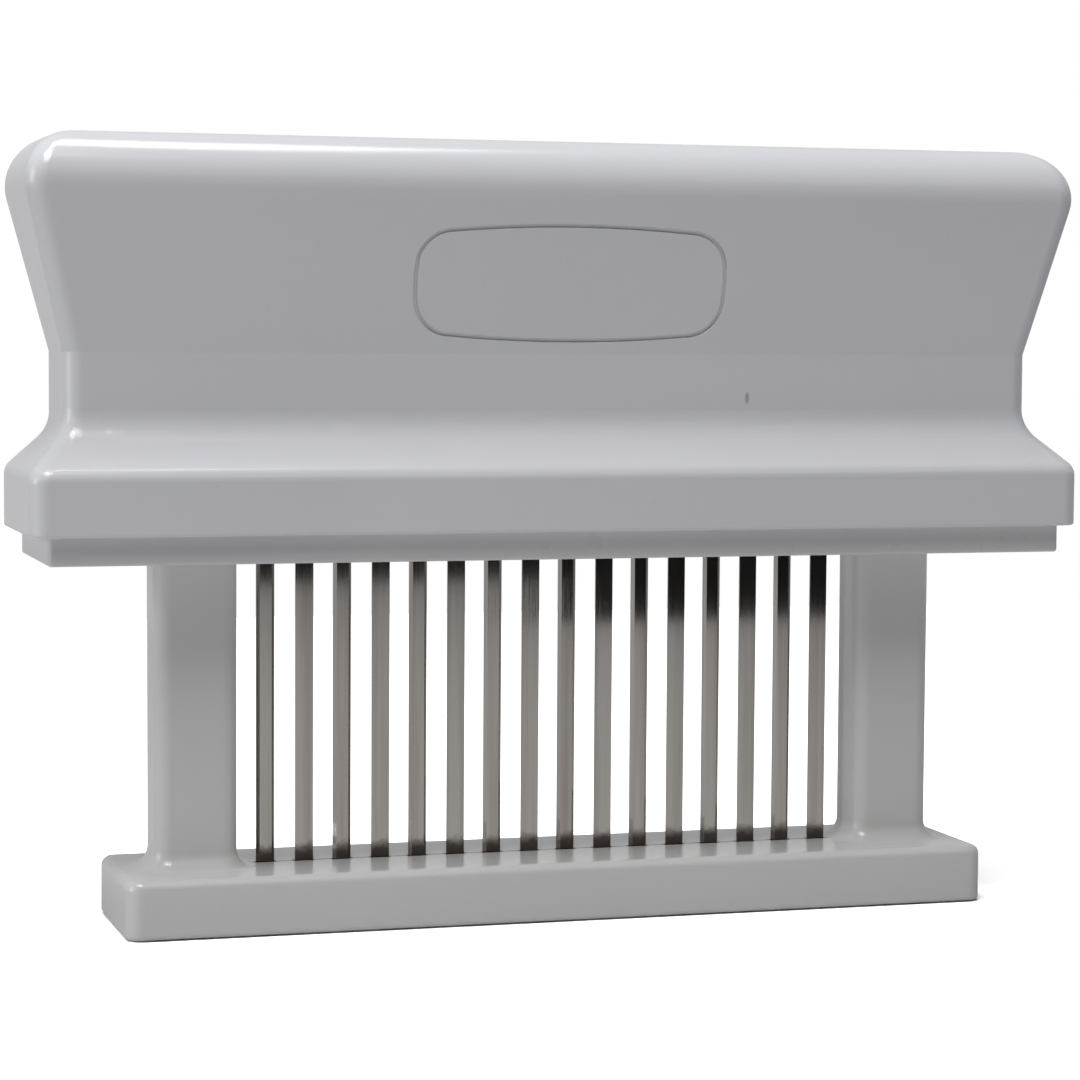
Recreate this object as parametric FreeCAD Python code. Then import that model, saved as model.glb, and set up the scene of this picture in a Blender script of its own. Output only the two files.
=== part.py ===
import FreeCAD, Part
import math
import os

# Hand-held blade meat tenderizer with one row of sixteen blades. A hollow flared handle holds
# the blades in a clamped carrier over a closure plate. A slotted foot bar on two hollow columns
# slides up into the handle against two springs, so that pressing the handle down pushes the
# blades out through the foot.
# Millimetres. +X is the long way of the foot, +Y is the far side and +Z is up. The origin is the
# centre of the foot's sole. The foot is drawn fully out, with its clips on the collars.

# Foot bar
foot_end = 4.8
foot_width = 23.1
foot_height = 7.45
foot_corner_radius = 1.9
foot_edge_radius = 1.2
sole_edge_radius = 0.5
groove_width = 0.4
groove_depth = 0.35
groove_overrun = 1.6

# Columns of the foot, with a blind bore for the spring
row_margin = 3.015
column_width = 10.8
column_depth = 8.0
column_corner_radius = 2.0
column_base_radius = 2.5
bore_radius = 2.7
bore_floor = 4.0

# Closure plate under the handle
open_gap = 39.6
plate_end_inset = 2.3
plate_side_inset = 1.6
plate_thickness = 3.6
plate_corner_radius = 0.6
plate_edge_radius = 0.4
collar_height = 6.5
collar_wall = 1.4
spigot_height = 2.0
spigot_wall = 1.5

# Handle housing, from the flange up to the roll along the top
flange_overhang = 12.1
flange_width = 28.4
flange_height = 7.75
flange_crease_radius = 2.0
lip_radius = 0.4
slope_height = 5.35
slope_fillet_radius = 5.0
waist_end_inset = 5.0
waist_side_inset = 6.2
waist_height = 9.6
waist_corner_radius = 2.2
grip_end_flare = 5.0
grip_side_flare = 4.0
grip_height = 27.35
grip_corner_radius = 2.4
top_corner_radius = 1.2
roll_radius = 6.5
roll_band_count = 6
hollow_band_count = 2
flange_wall = 3.0
shell_wall = 2.2
crease_drop = 0.9

# Engraved outline on the front of the grip, with bowed sides
panel_length = 42.0
panel_height = 15.4
panel_end_bow = 0.9
panel_side_bow = 1.1
panel_corner_radius = 5.0
panel_rise = 9.0
engraving_width = 0.45
engraving_depth = 0.3

# Ribs and spring pins inside the housing
rib_count = 5
rib_spacing = 18.5
rib_thickness = 1.6
pin_radius = 1.4
pin_overlap = 2.0

# Blades
blade_count = 16
blade_pitch = 5.08
blade_width = 2.37
blade_thickness = 0.6
bevel_width = 0.4
bevel_depth = 0.35
point_height = 1.8
point_recess = 1.2
head_width = 3.6
head_height = 3.0

# Carrier that clamps the blade heads, in a front half and a rear half
carrier_end = 0.915
carrier_height = 14.5
carrier_half_depth = 4.4
carrier_cap = 1.5
carrier_edge_radius = 0.8
rivet_count = 3
rivet_gap_count = 6
rivet_rise = 4.5
rivet_radius = 0.8
rivet_head_radius = 1.6
rivet_head_height = 0.7

# Clips that stop the columns on the collars
clip_thickness = 1.2
clip_prong_width = 2.0
clip_groove_depth = 0.8
clip_bridge = 1.5

# Springs, as the sleeve that their coils fill
wire_radius = 0.25
coil_radius = 2.15

# Motion and fits
travel = 36.5
top_clearance = 0.3
column_clearance = 0.15
foot_slot_clearance = 0.25
plate_slot_clearance = 0.1
blade_fit = 0.03
spigot_fit = 0.1
rivet_fit = 0.03
clip_fit = 0.05
stop_gap = 0.05
seat_gap = 0.02

# Lengths and widths worked out from the sizes above, from the blades outwards
row_length = (blade_count - 1) * blade_pitch + blade_width
column_spacing = row_length + 2 * row_margin + column_width
foot_length = column_spacing + column_width + 2 * foot_end
flange_length = foot_length + 2 * flange_overhang
plate_length = flange_length - 2 * plate_end_inset
plate_width = flange_width - 2 * plate_side_inset
waist_length = flange_length - 2 * waist_end_inset
waist_width = flange_width - 2 * waist_side_inset
grip_length = waist_length + 2 * grip_end_flare
grip_width = waist_width + 2 * grip_side_flare
carrier_length = row_length + 2 * carrier_end

# Heights worked out from the sizes above
plate_bottom = foot_height + open_gap
plate_top = plate_bottom + plate_thickness
flange_top = plate_top + flange_height
waist_bottom = flange_top + slope_height
waist_top = waist_bottom + waist_height
handle_top = waist_top + grip_height
roof = handle_top - shell_wall
carrier_top = plate_top + carrier_height
head_top = carrier_top - carrier_cap
collar_top = plate_top + collar_height
clip_bottom = collar_top + stop_gap
column_top = roof - travel - top_clearance
mouth_length = flange_length - 2 * flange_wall
mouth_width = flange_width - 2 * flange_wall
mouth_corner_radius = waist_corner_radius / 2

SIDES = {"left": -1, "right": 1}
UP = FreeCAD.Vector(0, 0, 1)
TOLERANCE = 1e-4


def rounded_outline(length, width, radius, z=0.0):
    """Closed wire of a rounded rectangle centred on the Z axis, eight edges from +X."""
    a = length / 2
    b = width / 2
    k = radius * (1 - math.sqrt(0.5))
    corners = [(1, 1), (-1, 1), (-1, -1), (1, -1)]
    edges = []
    ends = []
    for sx, sy in corners:
        on_side = FreeCAD.Vector(sx * a, sy * (b - radius), z)
        middle = FreeCAD.Vector(sx * (a - k), sy * (b - k), z)
        on_front = FreeCAD.Vector(sx * (a - radius), sy * b, z)
        first, last = (on_side, on_front) if sx * sy > 0 else (on_front, on_side)
        ends.append((first, last))
        edges.append(Part.Arc(first, middle, last).toShape())
    outline = []
    for i, arc in enumerate(edges):
        outline.append(arc)
        outline.append(Part.makeLine(ends[i][1], ends[(i + 1) % len(ends)][0]))
    return Part.Wire(outline)


def rounded_block(length, width, radius, bottom, top, x=0.0, y=0.0):
    """Upright prism with rounded vertical corners, centred on x and y."""
    face = Part.Face(rounded_outline(length, width, radius, bottom))
    block = face.extrude(UP * (top - bottom))
    block.translate(FreeCAD.Vector(x, y, 0))
    return block


def block(length, width, bottom, top, x=0.0, y=0.0):
    """Upright box centred on x and y."""
    corner = FreeCAD.Vector(x - length / 2, y - width / 2, bottom)
    return Part.makeBox(length, width, top - bottom, corner)


def edges_at(shape, z):
    """Edges of a shape that lie in the level plane at z."""
    return [e for e in shape.Edges if e.BoundBox.ZMin > z - TOLERANCE and e.BoundBox.ZMax < z + TOLERANCE]


def union(shapes):
    """One solid from touching or overlapping solids, with its seams removed."""
    return shapes[0].multiFuse(shapes[1:]).removeSplitter().Solids[0]


def without(shape, cutters):
    """The one solid that is left when all the cutters are taken off."""
    return shape.cut(cutters).Solids[0]


def blade_positions():
    return [(i - (blade_count - 1) / 2) * blade_pitch for i in range(blade_count)]


class Flare:
    """Profile of one side of the grip: a straight flare that runs on into the roll at the top.

    Heights are measured from the waist, and half sizes from the middle of the handle."""

    def __init__(self, half_waist, half_grip, roll, rise):
        self.half_waist = half_waist
        self.roll = roll
        self.centre = half_grip - roll
        self.centre_height = rise - roll
        offset = self.centre - half_waist
        reach = math.hypot(offset, self.centre_height)
        self.lean = math.atan2(offset, self.centre_height) + math.asin(roll / reach)

    def half(self, height):
        """Half size of the grip at this height."""
        above = height - self.centre_height
        if above < -self.roll * math.sin(self.lean):
            return self.half_waist + height * math.tan(self.lean)
        return self.centre + math.sqrt(max(self.roll ** 2 - above ** 2, 0))


def handle_form(flange_inset, inset, drop, sections, ruled):
    """Outer form of the handle, or the hollow in it when it is inset by the walls.

    A ruled roll has flat bands between its sections."""
    rise = grip_height - inset
    roll = roll_radius - inset
    along = Flare(waist_length / 2 - inset, grip_length / 2 - inset, roll, rise)
    across = Flare(waist_width / 2 - inset, grip_width / 2 - inset, roll, rise)
    waist_corner = max(waist_corner_radius - inset, waist_corner_radius / 4)
    grip_corner = max(grip_corner_radius - inset, waist_corner)
    top_corner = min(top_corner_radius, grip_corner)
    lower = (flange_length - 2 * flange_inset, flange_width - 2 * flange_inset, waist_corner)
    waist = (waist_length - 2 * inset, waist_width - 2 * inset, waist_corner)
    start = -max(along.lean, across.lean)
    levels = []
    for i in range(sections + 1):
        angle = start + (math.pi / 2 - start) * i / sections
        height = rise - roll + roll * math.sin(angle)
        corner = grip_corner - (grip_corner - top_corner) * (1 - math.cos(max(angle, 0)))
        levels.append(rounded_outline(
            2 * along.half(height), 2 * across.half(height), corner, waist_top + height))
    body = Part.makeLoft([
        rounded_outline(*lower, plate_top),
        rounded_outline(*lower, flange_top - drop),
        rounded_outline(*waist, waist_bottom - drop),
        rounded_outline(*waist, waist_top),
        levels[0],
    ], True, True)
    return union([body, Part.makeLoft(levels, True, ruled)])


def bowed_block(inset):
    """Flat block with four bowed sides and rounded corners, inset from the engraved outline."""
    a = panel_length / 2 - inset
    b = panel_height / 2 - inset
    x = a - panel_end_bow
    y = b - panel_side_bow
    corners = [(x, y), (-x, y), (-x, -y), (x, -y)]
    middles = [(0, b), (-a, 0), (0, -b), (a, 0)]
    sides = []
    for i, middle in enumerate(middles):
        points = [corners[i], middle, corners[(i + 1) % len(corners)]]
        sides.append(Part.Arc(*[FreeCAD.Vector(u, v, -engraving_depth) for u, v in points]).toShape())
    slab = Part.Face(Part.Wire(sides)).extrude(UP * 2 * engraving_depth)
    uprights = [e for e in slab.Edges if e.BoundBox.ZLength > engraving_depth]
    return slab.makeFillet(panel_corner_radius - inset, uprights)


def engraved_outline():
    """Ring-shaped cutter that stands square to the leaning front face of the grip."""
    ring = without(bowed_block(0.0), [bowed_block(engraving_width)])
    lean = Flare(waist_width / 2, grip_width / 2, roll_radius, grip_height).lean
    ring.rotate(FreeCAD.Vector(0, 0, 0), FreeCAD.Vector(1, 0, 0), 90 + math.degrees(lean))
    front = -waist_width / 2 - panel_rise * math.tan(lean)
    ring.translate(FreeCAD.Vector(0, front, waist_top + panel_rise))
    return ring


def spring_pin(side):
    """Pin with a chamfered end that hangs from the roof inside the spring."""
    tip = column_top - pin_overlap
    base = FreeCAD.Vector(side * column_spacing / 2, 0, tip)
    pin = Part.makeCylinder(pin_radius, roof + shell_wall / 2 - tip, base)
    return pin.makeChamfer(pin_radius / 2, edges_at(pin, tip))


def handle_housing():
    form = handle_form(0.0, 0.0, 0.0, roll_band_count, False)
    form = form.makeFillet(slope_fillet_radius, edges_at(form, waist_bottom))
    form = form.makeFillet(flange_crease_radius, edges_at(form, flange_top))
    form = form.makeFillet(lip_radius, edges_at(form, plate_top))
    hollow = handle_form(flange_wall, shell_wall, crease_drop, hollow_band_count, True)
    ribs = [
        block(rib_thickness, flange_width, carrier_top, handle_top, (i - (rib_count - 1) / 2) * rib_spacing)
        for i in range(rib_count)
    ]
    housing = without(form, [without(hollow, ribs)])
    housing = union([housing, spring_pin(-1), spring_pin(1)])
    return without(housing, [engraved_outline()])


def closure_plate():
    plate = rounded_block(plate_length, plate_width, plate_corner_radius, plate_bottom, plate_top)
    plate = plate.makeFillet(plate_edge_radius, edges_at(plate, plate_bottom))
    spigot_length = mouth_length - 2 * spigot_fit
    spigot_width = mouth_width - 2 * spigot_fit
    spigot_top = plate_top + spigot_height
    rim = rounded_block(spigot_length, spigot_width, mouth_corner_radius, plate_top, spigot_top)
    well = block(spigot_length - 2 * spigot_wall, spigot_width - 2 * spigot_wall, plate_top, spigot_top)
    opening_length = column_width + 2 * column_clearance
    opening_width = column_depth + 2 * column_clearance
    opening_radius = column_corner_radius + column_clearance
    pieces = [plate, rim.cut(well)]
    cuts = []
    for side in SIDES.values():
        x = side * column_spacing / 2
        pieces.append(rounded_block(
            opening_length + 2 * collar_wall, opening_width + 2 * collar_wall,
            opening_radius + collar_wall, plate_top, collar_top, x))
        cuts.append(rounded_block(opening_length, opening_width, opening_radius, plate_bottom, collar_top, x))
    for x in blade_positions():
        cuts.append(block(
            blade_width + 2 * plate_slot_clearance, blade_thickness + 2 * plate_slot_clearance,
            plate_bottom, plate_top, x))
    return without(union(pieces), cuts)


def foot_bar():
    bar = rounded_block(foot_length, foot_width, foot_corner_radius, 0.0, foot_height)
    bar = bar.makeFillet(foot_edge_radius, edges_at(bar, foot_height))
    return bar.makeFillet(sole_edge_radius, edges_at(bar, 0.0))


def column_joint_edges(shape):
    """Edges where the columns stand on the foot bar."""
    reach = max(column_width, column_depth)
    found = []
    for edge in edges_at(shape, foot_height):
        middle = edge.CenterOfMass
        if abs(abs(middle.x) - column_spacing / 2) < reach and abs(middle.y) < reach * 0.6:
            found.append(edge)
    return found


def clip_groove(side):
    """Two notches across the front and rear of a column, for the clip's prongs."""
    x = side * column_spacing / 2
    top = clip_bottom + clip_thickness + clip_fit
    band = block(2 * column_width, 2 * column_depth, clip_bottom - clip_fit, top, x)
    core = block(2 * column_width, column_depth - 2 * clip_groove_depth, clip_bottom - clip_fit, top, x)
    return band.cut(core)


def foot_with_columns():
    columns = [
        rounded_block(
            column_width, column_depth, column_corner_radius, foot_height / 2, column_top,
            side * column_spacing / 2)
        for side in SIDES.values()
    ]
    foot = union([foot_bar()] + columns)
    foot = foot.makeFillet(column_base_radius, column_joint_edges(foot))
    cuts = []
    for side in SIDES.values():
        base = FreeCAD.Vector(side * column_spacing / 2, 0, bore_floor)
        cuts.append(Part.makeCylinder(bore_radius, column_top - bore_floor, base))
        cuts.append(clip_groove(side))
    for x in blade_positions():
        cuts.append(block(
            blade_width + 2 * foot_slot_clearance, blade_thickness + 2 * foot_slot_clearance,
            0.0, foot_height, x))
    cuts.append(block(row_length + 2 * groove_overrun, groove_width, foot_height - groove_depth, foot_height))
    return without(foot, cuts)


def column_clip(side):
    """Flat fork pushed on to a column from its outer side."""
    half_column = column_width / 2
    reach = half_column + clip_fit + clip_bridge
    slot_width = column_depth - 2 * clip_groove_depth + 2 * clip_fit
    width = slot_width + 2 * clip_prong_width
    length = reach + half_column
    middle = (reach - half_column) / 2
    fork = rounded_block(length, width, clip_bridge / 2, clip_bottom, clip_bottom + clip_thickness, middle)
    slot_end = half_column + clip_fit
    fork = without(fork, [block(2 * length, slot_width, clip_bottom, handle_top, slot_end - length)])
    if side < 0:
        fork.rotate(FreeCAD.Vector(0, 0, 0), UP, 180)
    fork.translate(FreeCAD.Vector(side * column_spacing / 2, 0, 0))
    return fork


def blade(index):
    """Flat blade with a point below, a clamped head above, and both edges ground on one face.

    The ground face looks to the front and to the rear by turns along the row."""
    half = blade_width / 2
    half_head = head_width / 2
    tip = point_recess
    shoulder = head_top - head_height
    points = [
        (0, tip), (half, tip + point_height), (half, shoulder), (half_head, shoulder),
        (half_head, head_top), (-half_head, head_top), (-half_head, shoulder), (-half, shoulder),
        (-half, tip + point_height), (0, tip),
    ]
    outline = Part.makePolygon([FreeCAD.Vector(x, -blade_thickness / 2, z) for x, z in points])
    strip = Part.Face(outline).extrude(FreeCAD.Vector(0, blade_thickness, 0))
    strip = without(strip, [edge_grind(-1), edge_grind(1)])
    if index % 2:
        strip.rotate(FreeCAD.Vector(0, 0, 0), UP, 180)
    strip.translate(FreeCAD.Vector(blade_positions()[index], 0, 0))
    return strip


def edge_grind(side):
    """Wedge taken off one long edge of a blade, from its point up to the closure plate."""
    edge = side * blade_width / 2
    face = -blade_thickness / 2
    corners = [
        (edge - side * bevel_width, face), (edge, face + bevel_depth),
        (edge + side * bevel_width, face + bevel_depth), (edge + side * bevel_width, face - bevel_depth),
        (edge - side * bevel_width, face - bevel_depth), (edge - side * bevel_width, face),
    ]
    outline = Part.makePolygon([FreeCAD.Vector(x, y, 0) for x, y in corners])
    return Part.Face(outline).extrude(UP * plate_bottom)


def carrier_half(side):
    """Bar that takes half of each blade's thickness; side is -1 at the front, 1 at the rear."""
    middle = side * carrier_half_depth / 2
    bar = block(carrier_length, carrier_half_depth, plate_top, carrier_top, 0.0, middle)
    outer = side * carrier_half_depth
    outer_edges = [
        e for e in bar.Edges
        if abs(e.BoundBox.YMin - outer) < TOLERANCE and abs(e.BoundBox.YMax - outer) < TOLERANCE
    ]
    bar = bar.makeFillet(carrier_edge_radius, outer_edges)
    cuts = []
    for x in blade_positions():
        depth = blade_thickness + 2 * blade_fit
        cuts.append(block(blade_width + 2 * blade_fit, depth, plate_top, head_top, x))
        cuts.append(block(
            head_width + 2 * blade_fit, depth, head_top - head_height - blade_fit, head_top + blade_fit, x))
    for x in rivet_positions():
        cuts.append(rivet_shank(x, rivet_radius + rivet_fit))
    return without(bar, cuts)


def rivet_positions():
    """Rivets sit in gaps between the blades."""
    return [(i - (rivet_count - 1) / 2) * rivet_gap_count * blade_pitch for i in range(rivet_count)]


def rivet_shank(x, radius):
    base = FreeCAD.Vector(x, -carrier_half_depth, plate_top + rivet_rise)
    return Part.makeCylinder(radius, 2 * carrier_half_depth, base, FreeCAD.Vector(0, 1, 0))


def rivet(x):
    """Rivet with a tapered head on each face of the carrier."""
    pieces = [rivet_shank(x, rivet_radius)]
    for side in SIDES.values():
        base = FreeCAD.Vector(x, side * carrier_half_depth, plate_top + rivet_rise)
        outward = FreeCAD.Vector(0, side, 0)
        pieces.append(Part.makeCone(rivet_head_radius, rivet_radius, rivet_head_height, base, outward))
    return union(pieces)


def carrier_rivets():
    return Part.makeCompound([rivet(x) for x in rivet_positions()])


def spring(side):
    """Space that the coils take up, from the floor of the column's bore to the roof of the handle."""
    base = FreeCAD.Vector(side * column_spacing / 2, 0, bore_floor + seat_gap)
    length = roof - bore_floor - 2 * seat_gap
    outside = Part.makeCylinder(coil_radius + wire_radius, length, base)
    return without(outside, [Part.makeCylinder(coil_radius - wire_radius, length, base)])


def nodes():
    """Every piece of the tenderizer by name."""
    found = {
        "handle_housing": handle_housing(),
        "closure_plate": closure_plate(),
        "carrier_front": carrier_half(-1),
        "carrier_rear": carrier_half(1),
        "carrier_rivets": carrier_rivets(),
        "foot_with_columns": foot_with_columns(),
    }
    for name, side in SIDES.items():
        found["column_clip_" + name] = column_clip(side)
        found["spring_" + name] = spring(side)
    for index in range(blade_count):
        found["blade_%02d" % (index + 1)] = blade(index)
    return found


os.makedirs("parts", exist_ok=True)
for node_name, shape in nodes().items():
    shape.exportStep("parts/" + node_name + ".step")
    print(node_name, shape.ShapeType, len(shape.Solids), shape.isValid(), round(shape.Volume, 2))
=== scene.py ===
import math
import bpy
from mathutils import Matrix, Vector


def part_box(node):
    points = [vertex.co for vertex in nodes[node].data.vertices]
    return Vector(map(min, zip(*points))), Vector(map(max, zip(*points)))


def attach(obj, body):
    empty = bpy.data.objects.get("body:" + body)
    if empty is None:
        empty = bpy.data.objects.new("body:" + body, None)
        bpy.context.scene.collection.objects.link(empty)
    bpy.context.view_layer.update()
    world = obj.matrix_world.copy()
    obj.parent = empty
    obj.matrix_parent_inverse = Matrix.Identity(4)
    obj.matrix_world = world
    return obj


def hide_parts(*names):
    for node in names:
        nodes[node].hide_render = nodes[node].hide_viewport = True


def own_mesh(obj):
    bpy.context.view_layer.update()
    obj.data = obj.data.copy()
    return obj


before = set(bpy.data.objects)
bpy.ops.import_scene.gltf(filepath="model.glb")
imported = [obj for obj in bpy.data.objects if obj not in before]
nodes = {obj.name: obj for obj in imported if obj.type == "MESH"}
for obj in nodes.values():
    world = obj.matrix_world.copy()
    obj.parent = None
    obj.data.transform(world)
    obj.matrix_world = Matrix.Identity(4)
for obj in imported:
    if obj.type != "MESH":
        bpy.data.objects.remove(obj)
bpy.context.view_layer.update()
scene = bpy.context.scene


# ---- Material helpers ---------------------------------------------------------------------------

def colour(red, green, blue):
    return (red, green, blue, 1.0)


def grey(level):
    return colour(level, level, level)


class Shade:
    """A small builder for procedural materials, with object positions in metres."""

    def __init__(self, name):
        self.material = bpy.data.materials.new(name)
        self.material.use_nodes = True
        self.tree = self.material.node_tree
        self.bsdf = self.tree.nodes["Principled BSDF"]
        self.where = self.tree.nodes.new("ShaderNodeTexCoord").outputs["Object"]

    def node(self, kind, **settings):
        made = self.tree.nodes.new(kind)
        for key, value in settings.items():
            setattr(made, key, value)
        return made

    def put(self, socket, value):
        """Links a socket, or sets a plain value directly on it."""
        if isinstance(value, bpy.types.NodeSocket):
            self.tree.links.new(value, socket)
        else:
            socket.default_value = value

    def set(self, name, value):
        self.put(self.bsdf.inputs[name], value)

    def maths(self, operation, a, b):
        made = self.node("ShaderNodeMath", operation=operation)
        self.put(made.inputs[0], a)
        self.put(made.inputs[1], b)
        return made.outputs[0]

    def range(self, value, low, high, to_low=0.0, to_high=1.0, smooth=False):
        """Maps low..high to to_low..to_high and holds the ends."""
        made = self.node("ShaderNodeMapRange", clamp=True)
        if smooth:
            made.interpolation_type = "SMOOTHSTEP"
        self.put(made.inputs["Value"], value)
        self.put(made.inputs["From Min"], low)
        self.put(made.inputs["From Max"], high)
        self.put(made.inputs["To Min"], to_low)
        self.put(made.inputs["To Max"], to_high)
        return made.outputs[0]

    def stretched(self, scale):
        made = self.node("ShaderNodeMapping")
        self.put(made.inputs["Vector"], self.where)
        made.inputs["Scale"].default_value = scale
        return made.outputs[0]

    def noise(self, scale, detail=2.0, rough=0.5, vector=None):
        made = self.node("ShaderNodeTexNoise")
        self.put(made.inputs["Vector"], vector or self.where)
        made.inputs["Scale"].default_value = scale
        made.inputs["Detail"].default_value = detail
        made.inputs["Roughness"].default_value = rough
        return made.outputs["Fac"]

    def mix(self, factor, a, b):
        made = self.node("ShaderNodeMix", data_type="RGBA")
        self.put(made.inputs[0], factor)
        self.put(made.inputs[6], a)
        self.put(made.inputs[7], b)
        return made.outputs[2]

    def axis(self, name):
        made = self.node("ShaderNodeSeparateXYZ")
        self.put(made.inputs[0], self.where)
        return made.outputs[name]

    def rounded(self, radius):
        """The normal as if edges were rounded to the radius."""
        bevel = self.node("ShaderNodeBevel", samples=4)
        bevel.inputs["Radius"].default_value = radius
        return bevel.outputs[0]

    def edges(self, radius):
        """1 on edges sharper than the radius, 0 on flat surfaces."""
        plain = self.node("ShaderNodeNewGeometry")
        dot = self.node("ShaderNodeVectorMath", operation="DOT_PRODUCT")
        self.put(dot.inputs[0], self.rounded(radius))
        self.put(dot.inputs[1], plain.outputs["Normal"])
        return self.range(dot.outputs["Value"], 0.995, 0.90)

    def near(self, point, size):
        """1 at a point, falling to 0 at the given sizes along each axis."""
        made = self.node("ShaderNodeMapping")
        self.put(made.inputs["Vector"], self.where)
        made.inputs["Scale"].default_value = [1 / s for s in size]
        made.inputs["Location"].default_value = [-p / s for p, s in zip(point, size)]
        length = self.node("ShaderNodeVectorMath", operation="LENGTH")
        self.put(length.inputs[0], made.outputs[0])
        return self.range(length.outputs["Value"], 0.6, 1.0, 1.0, 0.0)

    def bump(self, layers, edge_radius=None):
        """Layers of (height, distance in metres); the normal starts from rounded edges if asked."""
        normal = self.rounded(edge_radius) if edge_radius else None
        for height, distance in layers:
            made = self.node("ShaderNodeBump")
            self.put(made.inputs["Height"], height)
            made.inputs["Distance"].default_value = distance
            if normal:
                self.put(made.inputs["Normal"], normal)
            normal = made.outputs[0]
        self.set("Normal", normal)


# ---- Moulded plastics ---------------------------------------------------------------------------

PLASTIC_IOR = 1.5
SPECK_SHARE = 0.10              # how far a speck darkens the surface
SPECK_TONE = 0.6                # a speck's tone against the plastic's
WEAR_RADIUS = 0.0006            # edges sharper than this wear pale
WEAR_SHARE = 0.22
WEAR_TONE = 1.12                # a worn edge's tone against the plastic's
PALEST = 0.95
WEAR_ROUGHNESS = 0.12           # added on worn edges
MARK_COLOUR = colour(0.10, 0.09, 0.085)
MILK_RADIUS = (1.0, 0.95, 0.85)
MILK_DEPTH = 0.0018
SINK_HEIGHT = 0.00006
SCRATCH_HEIGHT = 0.0000016
SCRATCH_STRETCH = (0.6, 1.0, 14.0)
SOFT_EDGE = 0.00018


def plastic(name, base, shade, roughness, grain, milky=0.0, marks=()):
    """Injection-moulded plastic. The grain is a height in metres, a mark (point, size, depth)."""
    s = Shade(name)

    # A slow drift between two close tones, fine specks, paler worn edges, and the marks.
    drift = s.noise(scale=22.0, detail=3.0, rough=0.55)
    cloud = s.range(drift, 0.35, 0.68, smooth=True)
    tone = s.mix(cloud, colour(*base), colour(*shade))
    speck = s.range(s.noise(scale=1500.0, detail=1.0), 0.72, 0.80, to_high=SPECK_SHARE)
    tone = s.mix(speck, tone, colour(*[c * SPECK_TONE for c in shade]))
    scuffed = s.range(s.noise(scale=260.0, detail=3.0), 0.45, 0.62)
    worn = s.maths("MULTIPLY", s.edges(WEAR_RADIUS), scuffed)
    pale = colour(*[min(c * WEAR_TONE, PALEST) for c in base])
    tone = s.mix(s.maths("MULTIPLY", worn, WEAR_SHARE), tone, pale)
    for point, size, depth in marks:
        spot = s.maths("MULTIPLY", s.near(point, size), depth)
        tone = s.mix(spot, tone, MARK_COLOUR)
    s.set("Base Color", tone)

    # Cloudy gloss, duller where the edges are worn.
    haze = s.noise(scale=55.0, detail=4.0, rough=0.6)
    haze = s.range(haze, 0.3, 0.7, roughness * 0.85, roughness * 1.2)
    s.set("Roughness", s.maths("ADD", haze, s.maths("MULTIPLY", worn, WEAR_ROUGHNESS)))
    s.set("IOR", PLASTIC_IOR)
    if milky:
        s.set("Subsurface Weight", milky)
        s.set("Subsurface Radius", MILK_RADIUS)
        s.set("Subsurface Scale", MILK_DEPTH)

    # Sink marks, mould grain and fine scratches along the part, over softened edges.
    sink = s.noise(scale=38.0, detail=1.0)
    fine = s.noise(scale=1900.0, detail=3.0, rough=0.6)
    scratch = s.noise(scale=90.0, detail=2.0, rough=0.5, vector=s.stretched(SCRATCH_STRETCH))
    scratch = s.range(scratch, 0.66, 0.70)
    s.bump([(sink, SINK_HEIGHT), (fine, grain), (scratch, SCRATCH_HEIGHT)], SOFT_EDGE)
    return s.material


SCUFF = ((0.0247, -0.0080, 0.0676), (0.00035, 0.004, 0.0009), 0.45)

housing_plastic = plastic(
    "housing_plastic", (0.705, 0.710, 0.742), (0.690, 0.696, 0.728),
    roughness=0.18, grain=0.0000022, marks=[SCUFF])
plate_plastic = plastic(
    "plate_plastic", (0.66, 0.66, 0.665), (0.63, 0.63, 0.64),
    roughness=0.30, grain=0.0000030)
foot_plastic = plastic(
    "foot_plastic", (0.690, 0.689, 0.682), (0.676, 0.675, 0.667),
    roughness=0.19, grain=0.0000025, milky=0.12)
carrier_plastic = plastic(
    "carrier_plastic", (0.55, 0.55, 0.53), (0.52, 0.52, 0.50),
    roughness=0.50, grain=0.0000060)


# ---- Metals -------------------------------------------------------------------------------------

STAIN_SHARE = 0.5
STREAK_STRETCH = 0.12           # streaks are this much coarser than the grinding lines
ANISOTROPY = 0.4
LINE_HEIGHT = 0.000004
METAL_SOFT_EDGE = 0.00006
PAINTED_FOOT_SHADE_COLOUR = colour(0.075, 0.055, 0.045)
PAINTED_FOOT_SHADE_SHARE = 0.85
PAINTED_FOOT_SHADE_ROUGHNESS = 0.2
PAINTED_FOOT_SHADE_START = 0.001           # half the height over which the painted shade sets in


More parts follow.
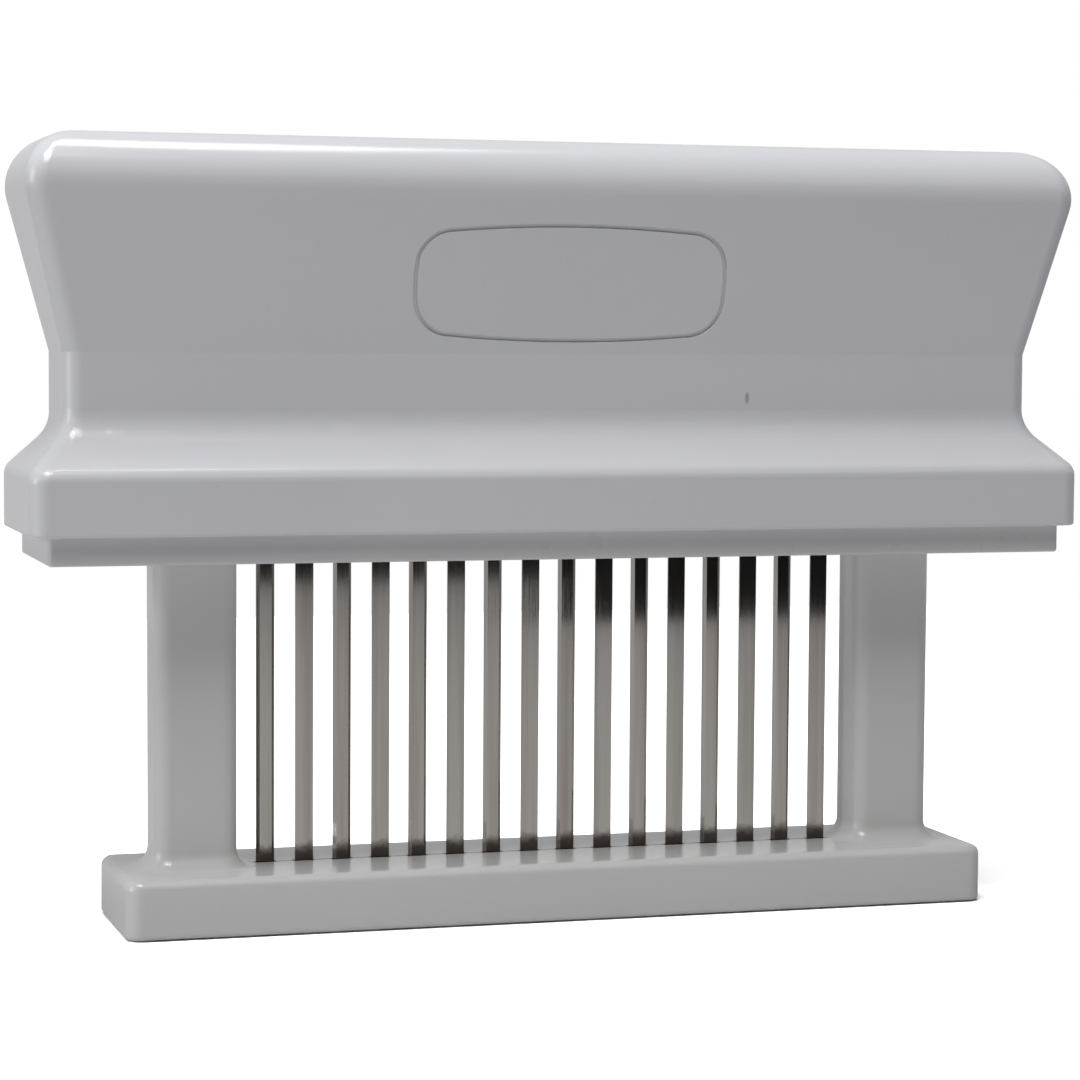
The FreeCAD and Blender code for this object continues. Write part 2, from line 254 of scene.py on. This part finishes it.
def steel(name, base, dark, roughness, along, painted_foot_shade=None):
    """Ground steel: fine lines, faint staining, and, if asked, a dark band of painted shade between
    two heights.

    along holds the noise scale on each axis, lowest along the lines.
    """
    s = Shade(name)
    lines = s.noise(scale=1.0, detail=4.0, rough=0.65, vector=s.stretched(along))
    coarse = [a * STREAK_STRETCH for a in along]
    streaks = s.noise(scale=1.0, detail=4.0, rough=0.6, vector=s.stretched(coarse))
    stain = s.range(streaks, 0.40, 0.68)
    tone = s.mix(s.maths("MULTIPLY", stain, STAIN_SHARE), colour(*base), colour(*dark))
    rough = s.range(lines, 0.3, 0.7, roughness * 0.8, roughness * 1.25)
    # Painted shade: a dark band on the blades just above the foot's top, where they enter the foot,
    # also made duller.
    if painted_foot_shade:
        low, high = painted_foot_shade
        height = s.axis("Z")
        ragged = s.noise(scale=700.0, detail=3.0, rough=0.6)
        ragged = s.maths("MULTIPLY", ragged, (high - low) * 0.9)
        fading = s.range(
            s.maths("SUBTRACT", height, ragged), low, high - (high - low) * 0.45, 1.0, 0.0)
        starting = s.range(
            s.maths("ADD", height, ragged), low - PAINTED_FOOT_SHADE_START, low + PAINTED_FOOT_SHADE_START)
        depth = s.maths("MULTIPLY", fading, starting)
        tone = s.mix(s.maths("MULTIPLY", depth, PAINTED_FOOT_SHADE_SHARE), tone, PAINTED_FOOT_SHADE_COLOUR)
        rough = s.maths("ADD", rough, s.maths("MULTIPLY", depth, PAINTED_FOOT_SHADE_ROUGHNESS))
    s.set("Base Color", tone)
    s.set("Metallic", 1.0)
    s.set("Roughness", rough)
    s.set("Anisotropic", ANISOTROPY)
    s.bump([(lines, LINE_HEIGHT)], METAL_SOFT_EDGE)
    return s.material


# The blades' painted shade band runs from the foot's top at 7.4 mm up to 10 mm.
blade_steel = steel(
    "blade_steel", (0.41, 0.39, 0.365), (0.22, 0.19, 0.165),
    roughness=0.06, along=(5200.0, 5200.0, 130.0), painted_foot_shade=(0.0074, 0.0100))
clip_steel = steel(
    "clip_steel", (0.50, 0.50, 0.50), (0.36, 0.35, 0.34),
    roughness=0.35, along=(260.0, 3200.0, 3200.0))
wire_steel = steel(
    "wire_steel", (0.52, 0.52, 0.52), (0.34, 0.33, 0.32),
    roughness=0.30, along=(900.0, 900.0, 900.0))
rivet_metal = steel(
    "rivet_metal", (0.70, 0.70, 0.71), (0.52, 0.52, 0.53),
    roughness=0.32, along=(1600.0, 500.0, 1600.0))


# ---- Materials on the CAD nodes -----------------------------------------------------------------

BLADE_COUNT = 16

DRESSED = [
    (housing_plastic, ["handle_housing"]),
    (plate_plastic, ["closure_plate"]),
    (foot_plastic, ["foot_with_columns"]),
    (carrier_plastic, ["carrier_front", "carrier_rear"]),
    (rivet_metal, ["carrier_rivets"]),
    (clip_steel, ["column_clip_left", "column_clip_right"]),
    (blade_steel, ["blade_%02d" % (i + 1) for i in range(BLADE_COUNT)]),
]
for material, names in DRESSED:
    for name in names:
        mesh = nodes[name].data
        mesh.materials.clear()
        mesh.materials.append(material)


# ---- Wound springs in place of the plain sleeves ------------------------------------------------

WIRE_RADIUS = 0.00025
BODY_TURNS = 30
CLOSED_TURNS = 1.5              # at each end
CLOSED_PITCH = 2.15             # in wire radii
STEPS_PER_TURN = 18
WIRE_SIDES = 8
UP = Vector((0, 0, 1))


def coil(name, node):
    """Compression spring with closed ends that fills its sleeve's height."""
    low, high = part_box(node)
    middle_x = (low[0] + high[0]) / 2
    middle_y = (low[1] + high[1]) / 2
    radius = (high[0] - low[0]) / 2 - WIRE_RADIUS
    bottom = low[2] + WIRE_RADIUS
    height = high[2] - low[2] - 2 * WIRE_RADIUS
    turns = BODY_TURNS + 2 * CLOSED_TURNS
    closed_pitch = CLOSED_PITCH * WIRE_RADIUS
    open_pitch = (height - 2 * CLOSED_TURNS * closed_pitch) / BODY_TURNS

    vertices = []
    faces = []
    count = int(turns * STEPS_PER_TURN)
    for i in range(count + 1):
        turn = i / STEPS_PER_TURN
        if turn < CLOSED_TURNS:
            z = turn * closed_pitch
        elif turn < CLOSED_TURNS + BODY_TURNS:
            z = CLOSED_TURNS * closed_pitch + (turn - CLOSED_TURNS) * open_pitch
        else:
            z = height - (turns - turn) * closed_pitch
        centre = Vector((middle_x, middle_y, bottom + z))
        angle = 2 * math.pi * turn
        out = Vector((math.cos(angle), math.sin(angle), 0))
        for j in range(WIRE_SIDES):
            around = 2 * math.pi * j / WIRE_SIDES
            offset = out * math.cos(around) + UP * math.sin(around)
            vertices.append(centre + out * radius + offset * WIRE_RADIUS)
        if i:
            this_ring = i * WIRE_SIDES
            last_ring = this_ring - WIRE_SIDES
            for j in range(WIRE_SIDES):
                k = (j + 1) % WIRE_SIDES
                faces.append((last_ring + j, last_ring + k, this_ring + k, this_ring + j))
    end_ring = count * WIRE_SIDES
    faces.append(tuple(range(WIRE_SIDES - 1, -1, -1)))
    faces.append(tuple(end_ring + j for j in range(WIRE_SIDES)))

    mesh = bpy.data.meshes.new(name)
    mesh.from_pydata(vertices, [], faces)
    mesh.materials.append(wire_steel)
    for polygon in mesh.polygons:
        polygon.use_smooth = len(polygon.vertices) == 4
    made = bpy.data.objects.new(name, mesh)
    scene.collection.objects.link(made)
    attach(made, "handle")
    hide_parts(node)
    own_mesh(made)


for side in ("left", "right"):
    coil("spring_wire_" + side, "spring_" + side)


# ---- Floor and dark cards -----------------------------------------------------------------------

FLOOR_X = (-0.9, 0.7)
FLOOR_Y = (-0.56, 0.42)
FLOOR_Z = -0.0002               # just clear of the sole
FLOOR_TONE = 0.71               # for the light that the floor throws back
FLOOR_SEEN = 2.6                # for the camera, so that the floor goes white outside the shadow
FLOOR_GRAIN = 0.99
CARD_TOP = 0.30


def plane(name, corners, material):
    mesh = bpy.data.meshes.new(name)
    mesh.from_pydata(corners, [], [(0, 1, 2, 3)])
    mesh.materials.append(material)
    made = bpy.data.objects.new(name, mesh)
    scene.collection.objects.link(made)
    return made


def floor_paper():
    """Pale matt paper that is clear from below."""
    s = Shade("floor_paper")
    path = s.node("ShaderNodeLightPath")
    grain = s.range(s.noise(scale=90.0, detail=3.0), 0.3, 0.7)
    seen = s.mix(grain, grey(FLOOR_SEEN), grey(FLOOR_SEEN * FLOOR_GRAIN))
    s.set("Base Color", s.mix(path.outputs["Is Camera Ray"], grey(FLOOR_TONE), seen))
    s.set("Roughness", 0.9)
    s.set("Specular IOR Level", 0.0)
    side = s.node("ShaderNodeNewGeometry")
    clear = s.node("ShaderNodeBsdfTransparent")
    either = s.node("ShaderNodeMixShader")
    s.put(either.inputs[0], side.outputs["Backfacing"])
    s.put(either.inputs[1], s.bsdf.outputs[0])
    s.put(either.inputs[2], clear.outputs[0])
    s.put(s.tree.nodes["Material Output"].inputs["Surface"], either.outputs[0])
    return s.material


def dark_card():
    s = Shade("dark_card")
    s.set("Base Color", s.range(s.noise(scale=6.0, detail=2.0), 0.3, 0.7, 0.003, 0.006))
    s.set("Roughness", 0.9)
    return s.material


def card(name, left, right, y, material):
    """A card standing on the floor that only glossy rays see; it darkens the blades' tops."""
    made = plane(
        name, [(left, y, 0.0), (right, y, 0.0), (right, y, CARD_TOP), (left, y, CARD_TOP)],
        material)
    made.visible_camera = False
    made.visible_diffuse = False
    made.visible_transmission = False
    made.visible_shadow = False


plane(
    "floor",
    [(FLOOR_X[0], FLOOR_Y[0], FLOOR_Z), (FLOOR_X[1], FLOOR_Y[0], FLOOR_Z),
     (FLOOR_X[1], FLOOR_Y[1], FLOOR_Z), (FLOOR_X[0], FLOOR_Y[1], FLOOR_Z)],
    floor_paper())
card_black = dark_card()
card("card_right", 0.113, 1.6, -0.385, card_black)
card("card_left", -0.7, 0.30, -0.525, card_black)


# ---- World: white for the camera, grey in reflections, and a weak fill --------------------------

WORLD_FILL = 0.02
WORLD_MIRRORED = 0.56

world = bpy.data.worlds.new("studio")
scene.world = world
world.use_nodes = True
world_tree = world.node_tree
world_tree.nodes.clear()


def background(tint, strength):
    made = world_tree.nodes.new("ShaderNodeBackground")
    made.inputs["Color"].default_value = colour(*tint)
    made.inputs["Strength"].default_value = strength
    return made.outputs[0]


def switched(test, off, on):
    made = world_tree.nodes.new("ShaderNodeMixShader")
    world_tree.links.new(test, made.inputs[0])
    world_tree.links.new(off, made.inputs[1])
    world_tree.links.new(on, made.inputs[2])
    return made.outputs[0]


ray = world_tree.nodes.new("ShaderNodeLightPath").outputs
white = background((1, 1, 1), 1.0)
surroundings = background((0.93, 0.96, 1.0), WORLD_FILL)
surroundings = switched(
    ray["Is Glossy Ray"], surroundings, background((1, 1, 1), WORLD_MIRRORED))
surroundings = switched(ray["Is Transmission Ray"], surroundings, white)
surroundings = switched(ray["Is Camera Ray"], surroundings, white)
world_output = world_tree.nodes.new("ShaderNodeOutputWorld")
world_tree.links.new(surroundings, world_output.inputs["Surface"])


# ---- Lamps --------------------------------------------------------------------------------------

AIM = Vector((0.0, 0.0, 0.055))
LAMPS = {                       # place, width, height, power in watts, tint
    "key": ((-0.13, -0.32, 0.63), 0.28, 0.18, 1.22, (1.0, 0.992, 0.988)),
    "key_high": ((-0.18, -0.22, 0.90), 0.40, 0.26, 3.0, (0.99, 0.985, 1.0)),
    "crown": ((0.02, 0.08, 0.98), 0.36, 0.30, 2.9, (0.985, 0.985, 1.0)),
    "left": ((-0.95, -0.10, 0.30), 0.50, 0.50, 2.45, (0.985, 0.985, 1.0)),
}

for name, (place, width, height, power, tint) in LAMPS.items():
    data = bpy.data.lights.new(name, "AREA")
    data.shape = "RECTANGLE"
    data.size = width
    data.size_y = height
    data.energy = power
    data.color = tint
    lamp = bpy.data.objects.new(name, data)
    lamp.location = place
    lamp.rotation_euler = (AIM - Vector(place)).to_track_quat("-Z", "Y").to_euler()
    scene.collection.objects.link(lamp)


# ---- Camera, fitted to the photo's view of the part ---------------------------------------------

CAMERA_PLACE = (-0.12065, -0.40069, 0.07693)
YAW = 0.2897                    # from +Y towards +X, in radians
PITCH = 0.0674                  # downwards
ROLL = 0.0062
FOCAL_LENGTH = 105.8            # in millimetres
SENSOR_WIDTH = 36.0

forward = Vector((
    math.sin(YAW) * math.cos(PITCH), math.cos(YAW) * math.cos(PITCH), -math.sin(PITCH)))
level = Vector((math.cos(YAW), -math.sin(YAW), 0))
above = level.cross(forward)
right = level * math.cos(ROLL) + above * math.sin(ROLL)
up = above * math.cos(ROLL) - level * math.sin(ROLL)
turned = Matrix((right, up, -forward)).transposed().to_4x4()

camera = bpy.data.objects.new("camera", bpy.data.cameras.new("camera"))
camera.matrix_world = Matrix.Translation(CAMERA_PLACE) @ turned
camera.data.lens = FOCAL_LENGTH
camera.data.sensor_width = SENSOR_WIDTH
camera.data.clip_start = 0.01
scene.collection.objects.link(camera)
scene.camera = camera
scene.view_settings.view_transform = "Standard"
